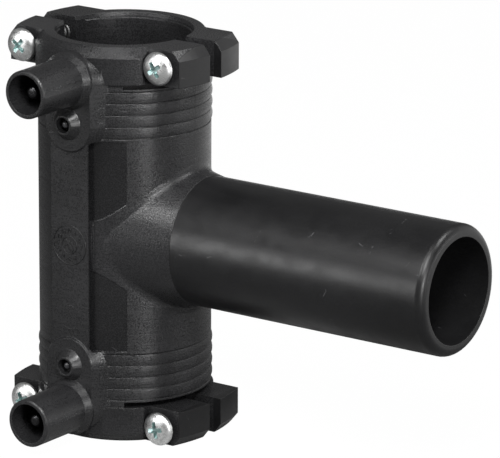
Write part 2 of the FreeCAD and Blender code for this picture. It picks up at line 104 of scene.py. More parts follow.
class Graph:
    """Small helper that builds one material's or world's node tree."""

    def __init__(self, tree: bpy.types.NodeTree) -> None:
        """Empties the tree.

        Args:
            tree: Node tree that is built up.
        """
        self.tree = tree
        tree.nodes.clear()

    def node(self, kind: str, **settings: Any) -> bpy.types.Node:
        """Adds a node.

        Args:
            kind: Node type without its ShaderNode prefix.
            settings: Attributes of the node.

        Returns:
            The new node.
        """
        made = self.tree.nodes.new("ShaderNode" + kind)
        for name, value in settings.items():
            setattr(made, name, value)
        return made

    def feed(self, target: Socket, value: Any) -> None:
        """Links a socket into another one, or sets its plain value.

        Args:
            target: Input that gets the value.
            value: Socket or plain value.
        """
        if isinstance(value, Socket):
            self.tree.links.new(value, target)
        else:
            target.default_value = value

    def math(self, operation: str, first: Any, second: Any = 0.0, clamp: bool = False) -> Socket:
        """Adds a maths node.

        Args:
            operation: Name of the operation.
            first: First value or socket.
            second: Second value or socket.
            clamp: Whether the result is kept between nought and one.

        Returns:
            The result's socket.
        """
        made = self.node("Math", operation=operation, use_clamp=clamp)
        self.feed(made.inputs[0], first)
        self.feed(made.inputs[1], second)
        return made.outputs[0]

    def total(self, *terms: Any) -> Socket:
        """Adds up values or sockets."""
        return reduce(partial(self.math, "ADD"), terms)

    def times(self, *factors: Any) -> Socket:
        """Multiplies values or sockets."""
        return reduce(partial(self.math, "MULTIPLY"), factors)

    def less(self, value: Any, part: Any) -> Socket:
        """Takes a part off a value."""
        return self.math("SUBTRACT", value, part)

    def distance(self, value: Any, centre: float) -> Socket:
        """Gives how far a value is from a centre, to either side."""
        return self.math("ABSOLUTE", self.less(value, centre))

    def diagonal(self, first: Any, second: Any) -> Socket:
        """Gives the diagonal over two lengths."""
        return self.math("SQRT", self.total(self.times(first, first), self.times(second, second)))

    def near(self, value: Any, centre: float, tolerance: float) -> Socket:
        """Gives one where a value is close to a centre, and nought elsewhere.

        Args:
            value: Value or socket that is compared.
            centre: Value that it is compared with.
            tolerance: Largest difference that counts as close.

        Returns:
            The result's socket.
        """
        made = self.math("COMPARE", value, centre)
        made.node.inputs[2].default_value = tolerance
        return made

    def ramp(self, value: Any, low: float, high: float, to_low: float = 0.0, to_high: float = 1.0) -> Socket:
        """Maps a range of values smoothly onto another one.

        Args:
            value: Value or socket that is mapped.
            low: Value that gives to_low.
            high: Value that gives to_high.
            to_low: Result at and below low.
            to_high: Result at and above high.

        Returns:
            The result's socket.
        """
        made = self.node("MapRange", interpolation_type="SMOOTHSTEP")
        for name, number in (("From Min", low), ("From Max", high), ("To Min", to_low), ("To Max", to_high)):
            made.inputs[name].default_value = number
        self.feed(made.inputs["Value"], value)
        return made.outputs["Result"]

    def place(self) -> Socket:
        """Gives the point on the object, in metres."""
        return self.node("TexCoord").outputs["Object"]

    def stretched(self, scale: float | Sequence[float]) -> Socket:
        """Gives the point on the object, scaled.

        Args:
            scale: Scale of all axes, or of each.

        Returns:
            The scaled point's socket.
        """
        made = self.node("Mapping")
        made.inputs["Scale"].default_value = (scale, scale, scale) if isinstance(scale, float) else scale
        self.feed(made.inputs["Vector"], self.place())
        return made.outputs["Vector"]

    def noise(self, pattern: Noise) -> Socket:
        """Adds a noise pattern.

        Args:
            pattern: Settings of the noise.

        Returns:
            The pattern's socket, about 0.5 on average.
        """
        made = self.node("TexNoise")
        made.inputs["Scale"].default_value = 1.0
        made.inputs["Detail"].default_value = pattern.layers
        made.inputs["Roughness"].default_value = pattern.rough
        self.feed(made.inputs["Vector"], self.stretched(pattern.scale))
        return made.outputs["Fac"]

    def cells(self, scale: float, feature: str) -> Socket:
        """Adds a cell pattern.

        Args:
            scale: Cells in one metre.
            feature: Measure that is taken in a cell.

        Returns:
            The distance's socket.
        """
        made = self.node("TexVoronoi", feature=feature)
        made.inputs["Scale"].default_value = 1.0
        self.feed(made.inputs["Vector"], self.stretched(scale))
        return made.outputs["Distance"]

    def blended(self, amount: Any, first: Any, second: Any) -> Socket:
        """Mixes two colours.

        Args:
            amount: Share of the second colour.
            first: Colour or socket at nought.
            second: Colour or socket at one.

        Returns:
            The colour's socket.
        """
        made = self.node("Mix", data_type="RGBA")
        self.feed(made.inputs[0], amount)
        self.feed(made.inputs[6], first)
        self.feed(made.inputs[7], second)
        return made.outputs[2]

    def shaded(self, shade: Any, colour: Sequence[float]) -> Socket:
        """Gives a colour times a shade.

        Args:
            shade: Factor or socket.
            colour: Red, green and blue.

        Returns:
            The colour's socket.
        """
        made = self.node("CombineColor")
        for channel, part in zip(("Red", "Green", "Blue"), colour):
            self.feed(made.inputs[channel], self.times(shade, part))
        return made.outputs[0]

    def vector(self, x: Any, y: Any, z: Any) -> Socket:
        """Puts three values together as a vector.

        Args:
            x: First value or socket.
            y: Second value or socket.
            z: Third value or socket.

        Returns:
            The vector's socket.
        """
        made = self.node("CombineXYZ")
        for target, value in zip(made.inputs, (x, y, z)):
            self.feed(target, value)
        return made.outputs[0]

    def unit(self, vector: Socket) -> Socket:
        """Gives a vector its unit length.

        Args:
            vector: Vector of any length.

        Returns:
            The unit vector's socket.
        """
        made = self.node("VectorMath", operation="NORMALIZE")
        self.feed(made.inputs[0], vector)
        return made.outputs[0]

    def relief(self, height: Any, depth: float, strength: float, normal: Socket) -> Socket:
        """Turns a height pattern into a surface normal.

        Args:
            height: Pattern between nought and one.
            depth: Height in metres that one stands for.
            strength: Share of the relief that shows.
            normal: Normal that the relief is laid on.

        Returns:
            The normal's socket.
        """
        made = self.node("Bump")
        made.inputs["Strength"].default_value = strength
        made.inputs["Distance"].default_value = depth
        self.feed(made.inputs["Height"], height)
        self.feed(made.inputs["Normal"], normal)
        return made.outputs["Normal"]

    def softened(self, radius: float) -> Socket:
        """Rounds the sharp edges in the shading.

        Args:
            radius: Radius of the rounding.

        Returns:
            The normal's socket.
        """
        made = self.node("Bevel", samples=EDGE_SAMPLES)
        made.inputs["Radius"].default_value = radius
        return made.outputs["Normal"]

    def white(self, kind: str, strength: float) -> Socket:
        """Adds a white source of light.

        Args:
            kind: Background or Emission.
            strength: Brightness of the source.

        Returns:
            The shader's socket.
        """
        made = self.node(kind)
        made.inputs["Color"].default_value = WHITE
        made.inputs["Strength"].default_value = strength
        return made.outputs[0]

    def end_in(self, output: str, share: Socket, first: Socket, second: Socket) -> None:
        """Mixes two shaders into the tree's output.

        Args:
            output: Kind of output node.
            share: Share of the second shader.
            first: Shader at nought.
            second: Shader at one.
        """
        mix = self.node("MixShader")
        for target, value in zip(mix.inputs, (share, first, second)):
            self.feed(target, value)
        self.feed(self.node(output).inputs["Surface"], mix.outputs[0])


@dataclass(frozen=True)
class Finish:
    """Base of every finish: a principled shader that a subclass dresses.

    Attributes:
        name: Name of the material.
        colour: Red, green and blue.
        roughness: Roughness that the patterns vary.
        edge_radius: Radius that sharp edges are rounded by in the shading.
    """

    name: str
    colour: tuple[float, float, float]
    roughness: float
    edge_radius: float

    def material(self) -> bpy.types.Material:
        """Builds the material.

        Returns:
            The material, which is the known one when it already exists.
        """
        known = bpy.data.materials.get(self.name)
        if known is not None:
            return known
        made = bpy.data.materials.new(self.name)
        made.use_nodes = True
        graph = Graph(made.node_tree)
        shader = graph.node("BsdfPrincipled")
        self.dress(graph, shader)
        output = graph.node("OutputMaterial")
        graph.feed(output.inputs["Surface"], shader.outputs["BSDF"])
        return made

    def tone(self, factor: float = 1.0) -> tuple[float, float, float, float]:
        """Gives the colour times a factor, with full alpha."""
        return tuple(part * factor for part in self.colour) + (1.0,)

    def dress(self, graph: Graph, shader: bpy.types.Node) -> None:
        """Connects the finish's patterns to the shader.

        Args:
            graph: Node tree that gets the patterns.
            shader: Principled shader that they feed.
        """
        raise NotImplementedError


@dataclass
class MouldingMaps:
    """Sockets that the moulding's colour, gloss and relief share.

    Attributes:
        branch: One on the branch's pipe.
        body: One on all the rest.
        barrel: One on the barrel's skin.
        panel: One in the sunk marking panel.
        bands: One on the rounded bands.
        band_lines: One in the lines between the bands.
        detail: One on what stands in front of the barrel.
        grained: Share of the grain that shows.
        grain: Fine noise of the spark-eroded mould.
        around_run: Noise in fine lines round the run.
        scuffs: One on a scratch.
    """

    branch: Socket
    body: Socket
    barrel: Socket
    panel: Socket
    bands: Socket
    band_lines: Socket
    detail: Socket
    grained: Socket
    grain: Socket
    around_run: Socket
    scuffs: Socket


@dataclass(frozen=True)
class MouldedPolyethylene(Finish):
    """Black polyethylene: spark-eroded grain on the body, a smoother turned surface on the branch."""

    # Zones
    branch_start: float = 31.3 * MM
    branch_blend: float = 0.05 * MM
    run_radius: float = 26.5 * MM
    run_tolerance: float = 0.5 * MM
    detail_front: float = -26.7 * MM
    band_zones: tuple[float, float] = (-23.2 * MM, 59.2 * MM)
    band_half_height: float = 7.5 * MM
    band_pitch: float = 3.65 * MM
    band_line: float = 0.22 * MM
    band_calm: float = 0.72
    panel_centre: float = 18.0 * MM
    panel_half_height: float = 33.0 * MM
    panel_depth: float = 0.2 * MM
    panel_tolerance: float = 0.08 * MM
    panel_calm: float = 0.75
    detail_calm: float = 0.65

    # Patterns: noises, cells in one metre, and a scratch's width as a share of its cell
    grain: Noise = Noise(2600.0, 3.0, 0.65)
    turned_lines: Noise = Noise((50.0, 50.0, 1500.0), 3.0, 0.6)
    branch_lines: Noise = Noise((2400.0, 90.0, 90.0), 2.0, 0.6)
    clouds: Noise = Noise(34.0, 3.0, 0.55)
    patches: Noise = Noise(150.0, 4.0, 0.6)
    pit_cells: float = 1560.0
    scuff_cells: float = 70.0
    scuff_width: float = 0.012
    scuff_gaps: Noise = Noise(160.0, 3.0, 0.7)
    scuff_span: tuple[float, float] = (0.60, 0.68)

    # Colour, as factors or shares
    cloud_tones: tuple[float, float] = (0.82, 1.22)
    grain_tone_span: tuple[float, float] = (0.35, 0.75)
    grain_tones: tuple[float, float] = (0.75, 1.4)
    branch_tone: float = 0.55
    # Share of the black taken off in the sunk panel, as painted shade
    panel_shade: float = 0.3
    scuff_colour: tuple[float, float, float, float] = (0.12, 0.12, 0.125, 1.0)
    scuff_share: float = 0.3

    # Gloss, as roughness, what is added to it, or shares
    grain_gloss_span: tuple[float, float] = (0.35, 0.65)
    grain_spread: tuple[float, float] = (-0.12, 0.14)
    line_spread: tuple[float, float] = (-0.05, 0.06)
    branch_roughness: tuple[float, float] = (0.30, 0.39)
    zone_polish: float = 0.06
    scuff_roughness: float = 0.1
    specular_level: float = 0.29
    turned_share: float = 0.92

    # Relief: one depth in metres, and heights as shares of it
    grain_depth: float = 0.08 * MM
    grain_height: float = 0.7
    pit_height: float = 0.45
    line_height: float = 0.5
    branch_line_height: float = 0.15
    branch_grain_height: float = 0.25
    scuff_height: float = 0.45
    band_line_height: float = 1.9

    # Marks of the mould
    bar_face: float = -27.9 * MM
    ejector_marks: tuple[float, float] = (39.6 * MM, -5.0 * MM)
    ejector_radius: float = 3.7 * MM
    ejector_line: float = 0.16 * MM
    ejector_height: float = 0.6
    parting_width: float = 0.09 * MM
    parting_start: float = 24.0 * MM
    parting_height: float = 1.7

    def on_branch(self, graph: Graph, split: bpy.types.Node) -> Socket:
        """Gives one on the branch's pipe and nought elsewhere."""
        return graph.ramp(split.outputs["X"], self.branch_start - self.branch_blend,
                          self.branch_start + self.branch_blend)

    def in_panel(self, graph: Graph, split: bpy.types.Node, radius: Socket) -> Socket:
        """Finds the sunk marking panel, which is smoother.

        Args:
            graph: Node tree that gets the nodes.
            split: Node with the point's coordinates.
            radius: Distance from the run's axis.

        Returns:
            One in the panel and nought elsewhere.
        """
        sunk = graph.near(radius, self.run_radius - self.panel_depth, self.panel_tolerance)
        up = graph.distance(split.outputs["Z"], self.panel_centre)
        return graph.times(sunk, graph.math("LESS_THAN", up, self.panel_half_height))

    def in_bands(self, graph: Graph, split: bpy.types.Node, barrel: Socket) -> tuple[Socket, Socket]:
        """Finds the rounded bands.

        Args:
            graph: Node tree that gets the nodes.
            split: Node with the point's coordinates.
            barrel: One on the barrel's skin.

        Returns:
            One on the bands, and one in the lines between them.
        """
        zones, lines = [], []
        for centre in self.band_zones:
            up = graph.less(split.outputs["Z"], centre)
            inside = graph.math("LESS_THAN", graph.math("ABSOLUTE", up), self.band_half_height)
            step = graph.math("PINGPONG", graph.total(up, 2 * self.band_pitch), self.band_pitch / 2)
            zones.append(inside)
            lines.append(graph.times(inside, graph.ramp(step, 0.0, self.band_line, 1.0, 0.0)))
        return graph.times(graph.total(*zones), barrel), graph.times(graph.total(*lines), barrel)

    def scuffs(self, graph: Graph) -> Socket:
        """Draws short fine scratches that come from handling.

        Args:
            graph: Node tree that gets the nodes.

        Returns:
            One on a scratch and nought elsewhere.
        """
        line = graph.ramp(graph.cells(self.scuff_cells, "DISTANCE_TO_EDGE"), 0.0, self.scuff_width, 1.0, 0.0)
        broken = graph.ramp(graph.noise(self.scuff_gaps), *self.scuff_span)
        return graph.times(line, broken)

    def maps(self, graph: Graph, split: bpy.types.Node) -> MouldingMaps:
        """Builds the zones and patterns that the moulding's channels share.

        Args:
            graph: Node tree that gets the nodes.
            split: Node with the point's coordinates.

        Returns:
            The zones and patterns.
        """
        branch = self.on_branch(graph, split)
        body = graph.less(1.0, branch)
        radius = graph.diagonal(split.outputs["X"], split.outputs["Y"])
        barrel = graph.near(radius, self.run_radius, self.run_tolerance)
        panel = graph.times(self.in_panel(graph, split, radius), body)
        bands, band_lines = self.in_bands(graph, split, barrel)
        detail = graph.math("LESS_THAN", split.outputs["Y"], self.detail_front)
        calm = graph.total(graph.times(panel, self.panel_calm), graph.times(detail, self.detail_calm))
        return MouldingMaps(
            branch=branch, body=body, barrel=barrel, panel=panel, bands=bands, band_lines=band_lines,
            detail=detail, grained=graph.less(body, calm),
            grain=graph.noise(self.grain),
            around_run=graph.noise(self.turned_lines),
            scuffs=self.scuffs(graph),
        )

    def blackness(self, graph: Graph, maps: MouldingMaps) -> Socket:
        """Draws the clouded, specked and scuffed black, with painted shade in the sunk panel.

        Args:
            graph: Node tree that gets the nodes.
            maps: Zones and patterns of the moulding.

        Returns:
            The colour's socket.
        """
        lift = graph.ramp(graph.noise(self.clouds), *NOISE_SPAN, *self.cloud_tones)
        speck = graph.ramp(maps.grain, *self.grain_tone_span, *self.grain_tones)
        # The sunk panel's black is darkened here as painted shade
        zones = graph.total(graph.less(maps.body, graph.times(maps.panel, self.panel_shade)),
                            graph.times(maps.branch, self.branch_tone))
        clean = graph.shaded(graph.times(lift, speck, zones), self.colour)
        return graph.blended(graph.times(maps.scuffs, self.scuff_share), clean, self.scuff_colour)

    def gloss(self, graph: Graph, maps: MouldingMaps) -> Socket:
        """Draws the roughness of the grained body and the smoother branch.

        Args:
            graph: Node tree that gets the nodes.
            maps: Zones and patterns of the moulding.

        Returns:
            The roughness's socket.
        """
        smooth, coarse = (self.roughness + part for part in self.grain_spread)
        grained = graph.ramp(maps.grain, *self.grain_gloss_span, smooth, coarse)
        lined = graph.total(grained, graph.ramp(maps.around_run, *NOISE_SPAN, *self.line_spread))
        patches = graph.ramp(graph.noise(self.patches), *NOISE_SPAN, *self.branch_roughness)
        rough = graph.total(graph.times(lined, maps.body), graph.times(patches, maps.branch))
        polish = graph.times(graph.less(maps.panel, maps.detail), self.zone_polish)
        return graph.total(graph.less(rough, polish), graph.times(maps.scuffs, self.scuff_roughness))

    def ejector_rings(self, graph: Graph, split: bpy.types.Node) -> Socket:
        """Draws the faint rings that ejector pins leave on the wire bar's face.

        Args:
            graph: Node tree that gets the nodes.
            split: Node with the point's coordinates.

        Returns:
            One on a ring's crest and nought elsewhere.
        """
        rings = []
        for height in self.ejector_marks:
            out = graph.diagonal(split.outputs["X"], graph.less(split.outputs["Z"], height))
            off = graph.distance(out, self.ejector_radius)
            rings.append(graph.ramp(off, 0.0, self.ejector_line, 1.0, 0.0))
        on_face = graph.math("LESS_THAN", split.outputs["Y"], self.bar_face)
        return graph.times(graph.total(*rings), on_face)

    def parting_line(self, graph: Graph, split: bpy.types.Node, body: Socket) -> Socket:
        """Draws the fine line where the mould's halves meet, on the outside of the run.

        Args:
            graph: Node tree that gets the nodes.
            split: Node with the point's coordinates.
            body: One on the body, which alone has the line.

        Returns:
            One on the line's crest and nought elsewhere.
        """
        line = graph.ramp(graph.math("ABSOLUTE", split.outputs["Y"]), 0.0, self.parting_width, 1.0, 0.0)
        outside = graph.math("GREATER_THAN", graph.math("ABSOLUTE", split.outputs["X"]), self.parting_start)
        return graph.times(line, outside, body)

    def surface(self, graph: Graph, split: bpy.types.Node, maps: MouldingMaps) -> Socket:
        """Draws the height of the grain, the turned lines and the marks.

        Args:
            graph: Node tree that gets the nodes.
            split: Node with the point's coordinates.
            maps: Zones and patterns of the moulding.

        Returns:
            The height's socket, in shares of the grain's depth.
        """
        on_body = graph.total(graph.times(maps.grain, self.grain_height),
                              graph.times(graph.cells(self.pit_cells, "F1"), self.pit_height),
                              graph.times(maps.around_run, self.line_height))
        around_branch = graph.noise(self.branch_lines)
        on_branch = graph.total(graph.times(around_branch, self.branch_line_height),
                                graph.times(maps.grain, self.branch_grain_height))
        raised = graph.total(graph.times(on_body, maps.grained), graph.times(on_branch, maps.branch),
                             graph.times(self.ejector_rings(graph, split), self.ejector_height),
                             graph.times(self.parting_line(graph, split, maps.body), self.parting_height))
        sunk = graph.total(graph.times(maps.scuffs, self.scuff_height),
                           graph.times(maps.band_lines, self.band_line_height))
        return graph.less(raised, sunk)

    def rounded(self, graph: Graph, split: bpy.types.Node, bands: Socket) -> Socket:
        """Rounds the edges, and calms the normal on the bands, whose swell is faint.

        Args:
            graph: Node tree that gets the nodes.
            split: Node with the point's coordinates.
            bands: One on the bands, where the normal turns towards the run's own.

        Returns:
            The normal's socket.
        """
        outward = graph.unit(graph.vector(split.outputs["X"], split.outputs["Y"], 0.0))
        mix = graph.node("Mix", data_type="VECTOR")
        graph.feed(mix.inputs[0], graph.times(bands, self.band_calm))
        graph.feed(mix.inputs[4], graph.softened(self.edge_radius))
        graph.feed(mix.inputs[5], outward)
        return graph.unit(mix.outputs[1])

    def dress(self, graph: Graph, shader: bpy.types.Node) -> None:
        """Connects the black, the gloss, the relief and the shine that turned lines draw out.

        Args:
            graph: Node tree that gets the patterns.
            shader: Principled shader that they feed.
        """
        split = graph.node("SeparateXYZ")
        graph.feed(split.inputs[0], graph.place())
        maps = self.maps(graph, split)
        graph.feed(shader.inputs["Base Color"], self.blackness(graph, maps))
        graph.feed(shader.inputs["Roughness"], self.gloss(graph, maps))
        height = self.surface(graph, split, maps)
        normal = graph.relief(height, self.grain_depth, 1.0, self.rounded(graph, split, maps.bands))
        graph.feed(shader.inputs["Normal"], normal)
        drawn_out = graph.times(graph.less(maps.grained, maps.branch), maps.barrel)
        graph.feed(shader.inputs["Anisotropic"], graph.times(drawn_out, self.turned_share))
        graph.feed(shader.inputs["Tangent"], graph.vector(0.0, 0.0, 1.0))
        shader.inputs["Specular IOR Level"].default_value = self.specular_level


@dataclass(frozen=True)
class ZincPlate(Finish):
    """Bright zinc plating with dull spots and fine tool marks."""

    spots: Noise = Noise(900.0, 4.0, 0.65)
    fine_marks: Noise = Noise(5200.0, 2.0, 0.6)
    dull_span: tuple[float, float] = (0.42, 0.66)
    dull_tone: float = 0.62
    rough_span: tuple[float, float] = (0.35, 0.7)
    dull_roughness: float = 0.22
    mark_height: float = 0.3
    depth: float = 0.04 * MM
    relief_share: float = 0.7

    def dress(self, graph: Graph, shader: bpy.types.Node) -> None:
        """Connects the spots and the fine relief of the plating.

        Args:
            graph: Node tree that gets the patterns.
            shader: Principled shader that they feed.
        """
        spots = graph.noise(self.spots)
        colour = graph.blended(graph.ramp(spots, *self.dull_span), self.tone(), self.tone(self.dull_tone))
        graph.feed(shader.inputs["Base Color"], colour)
        rough = graph.ramp(spots, *self.rough_span, self.roughness, self.roughness + self.dull_roughness)
        graph.feed(shader.inputs["Roughness"], rough)
        height = graph.total(spots, graph.times(graph.noise(self.fine_marks), self.mark_height))
        rounded = graph.softened(self.edge_radius)
        graph.feed(shader.inputs["Normal"], graph.relief(height, self.depth, self.relief_share, rounded))
        shader.inputs["Metallic"].default_value = 1.0


@dataclass(frozen=True)
class DullMetal(Finish):
    """Drawn and tinned metal with fine marks along its length."""

    drawn_marks: Noise = Noise((5200.0, 240.0, 5200.0), 2.0, 0.6)
    tarnish: Noise = Noise(420.0, 3.0, 0.6)
    tarnish_span: tuple[float, float] = (0.4, 0.7)
    tarnish_tone: float = 0.6
    mark_roughness: float = 0.14
    depth: float = 0.02 * MM
    relief_share: float = 0.6

    def dress(self, graph: Graph, shader: bpy.types.Node) -> None:
        """Connects the tarnish and the drawing marks.

        Args:
            graph: Node tree that gets the patterns.
            shader: Principled shader that they feed.
        """
        marks = graph.noise(self.drawn_marks)
        tarnish = graph.ramp(graph.noise(self.tarnish), *self.tarnish_span)
        colour = graph.blended(tarnish, self.tone(), self.tone(self.tarnish_tone))
        graph.feed(shader.inputs["Base Color"], colour)
        rough = graph.ramp(marks, *NOISE_SPAN, self.roughness, self.roughness + self.mark_roughness)
        graph.feed(shader.inputs["Roughness"], rough)
        rounded = graph.softened(self.edge_radius)
        graph.feed(shader.inputs["Normal"], graph.relief(marks, self.depth, self.relief_share, rounded))
        shader.inputs["Metallic"].default_value = 1.0


@dataclass(frozen=True)
class SmoothPlastic(Finish):
    """Smooth moulded plastic of the indicator pins."""

    flow: Noise = Noise(600.0, 3.0, 0.6)
    flow_span: tuple[float, float] = (0.35, 0.7)
    flow_tones: tuple[float, float] = (0.8, 1.3)
    flow_roughness: float = 0.12
    depth: float = 0.02 * MM
    relief_share: float = 0.5

    def dress(self, graph: Graph, shader: bpy.types.Node) -> None:
        """Connects a faint flow pattern.

        Args:
            graph: Node tree that gets the patterns.
            shader: Principled shader that they feed.
        """
        flow = graph.noise(self.flow)
        dark, light = (self.tone(factor) for factor in self.flow_tones)
        graph.feed(shader.inputs["Base Color"], graph.blended(graph.ramp(flow, *self.flow_span), dark, light))
        rough = graph.ramp(flow, *NOISE_SPAN, self.roughness, self.roughness + self.flow_roughness)
        graph.feed(shader.inputs["Roughness"], rough)
        rounded = graph.softened(self.edge_radius)
        graph.feed(shader.inputs["Normal"], graph.relief(flow, self.depth, self.relief_share, rounded))


BLACK_MOULDING = MouldedPolyethylene("moulded_polyethylene", (0.0112, 0.0112, 0.0118), 0.28, 0.28 * MM)
BRIGHT_ZINC = ZincPlate("bright_zinc", (0.80, 0.805, 0.80), 0.26, 0.10 * MM)
# Darker, bluer zinc inside the cross recesses
RECESS_ZINC = ZincPlate("recess_zinc", (0.42, 0.54, 0.53), 0.34, 0.05 * MM)
# Zinc darkened nearly to black on the shanks: painted shade of the shanks in the gaps under the heads and in
# the lugs
SHADE_PAINTED_ZINC = ZincPlate("shade_painted_zinc", (0.08, 0.08, 0.08), 0.40, 0.05 * MM)
# Near-black metal on the contact pins, which stand deep in their shrouds
NEAR_BLACK_PIN = DullMetal("near_black_pin", (0.048, 0.048, 0.050), 0.22, 0.15 * MM)
RESISTANCE_WIRE = DullMetal("resistance_wire", (0.72, 0.42, 0.28), 0.35, 0.05 * MM)
DARK_INDICATOR = SmoothPlastic("dark_indicator", (0.020, 0.020, 0.022), 0.16, 0.15 * MM)


def stored(name: str, mesh: BMesh) -> bpy.types.Mesh:
    """Moves a bmesh into new mesh data.

    Args:
        name: Name of the data.
        mesh: Mesh that is moved, which is freed.

    Returns:
        The mesh data.
    """
    data = bpy.data.meshes.new(name)
    mesh.to_mesh(data)
    mesh.free()
    return data


def linked(name: str, data: bpy.types.ID) -> bpy.types.Object:
    """Makes an object and puts it in the scene.

    Args:
        name: Name of the object.
        data: Mesh, curve, lamp or camera that it holds.

    Returns:
        The new object.
    """
    made = bpy.data.objects.new(name, data)
    bpy.context.scene.collection.objects.link(made)
    return made


def finish_object(name: str, mesh: BMesh, finishes: Sequence[Finish],
                  smooth_angle: float = math.radians(32)) -> bpy.types.Object:
    """Turns a bmesh into a dressed piece that rides on the part's body.

    Args:
        name: Name of the piece.
        mesh: Mesh in the model's frame, which is freed.
        finishes: Finishes of the piece, in the order of its faces' material numbers.
        smooth_angle: Edges sharper than this stay sharp.

    Returns:
        The new object.
    """
    bmesh.ops.remove_doubles(mesh, verts=mesh.verts, dist=MERGE_DISTANCE)
    bmesh.ops.recalc_face_normals(mesh, faces=mesh.faces)
    for face in mesh.faces:
        face.smooth = True
    for edge in mesh.edges:
        edge.smooth = edge.is_manifold and edge.calc_face_angle(math.pi) < smooth_angle
    data = stored(name, mesh)
    for finish in finishes:
        data.materials.append(finish.material())
    made = linked(name, data)
    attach(made, BODY)
    LOG.info("%s: %d faces", name, len(data.polygons))
    return made


def joined(meshes: Iterable[BMesh]) -> BMesh:
    """Puts several meshes into one.

    Args:
        meshes: Meshes that are joined, which are freed.

    Returns:
        The joined mesh.
    """
    whole = bmesh.new()
    for mesh in meshes:
        data = stored("part", mesh)
        whole.from_mesh(data)
        bpy.data.meshes.remove(data)
    return whole


def turned(profile: Sequence[tuple[float, float]], segments: int) -> BMesh:
    """Spins a profile about Z.

    Args:
        profile: Points of (radius, height).
        segments: Steps of the full turn.

    Returns:
        The turned mesh, with its doubles merged.
    """
    mesh = bmesh.new()
    points = [mesh.verts.new((radius, 0.0, height)) for radius, height in profile]
    edges = [mesh.edges.new(pair) for pair in zip(points, points[1:])]
    bmesh.ops.spin(mesh, geom=points + edges, cent=(0, 0, 0), axis=(0, 0, 1), dvec=(0, 0, 0),
                   angle=math.tau, steps=segments, use_merge=True, use_duplicate=False)
    bmesh.ops.remove_doubles(mesh, verts=mesh.verts, dist=MERGE_DISTANCE)
    bmesh.ops.recalc_face_normals(mesh, faces=mesh.faces)
    return mesh


def boolean_cut(body: BMesh, tool: BMesh) -> BMesh:
    """Cuts one closed mesh out of another.

    Args:
        body: Closed mesh that is cut, which is freed.
        tool: Closed mesh that is taken away, which is freed.

    Returns:
        What is left of the body.
    """
    target, cutter = (linked(name, stored(name, mesh))
                      for name, mesh in (("cut_body", body), ("cut_tool", tool)))
    modifier = target.modifiers.new("cut", "BOOLEAN")
    modifier.operation = "DIFFERENCE"
    modifier.solver = "EXACT"
    modifier.object = cutter
    evaluated = target.evaluated_get(bpy.context.evaluated_depsgraph_get())
    result = bpy.data.meshes.new_from_object(evaluated)
    left = bmesh.new()
    left.from_mesh(result)
    for made in (target, cutter):
        data = made.data
        bpy.data.objects.remove(made)
        bpy.data.meshes.remove(data)
    bpy.data.meshes.remove(result)
    return left


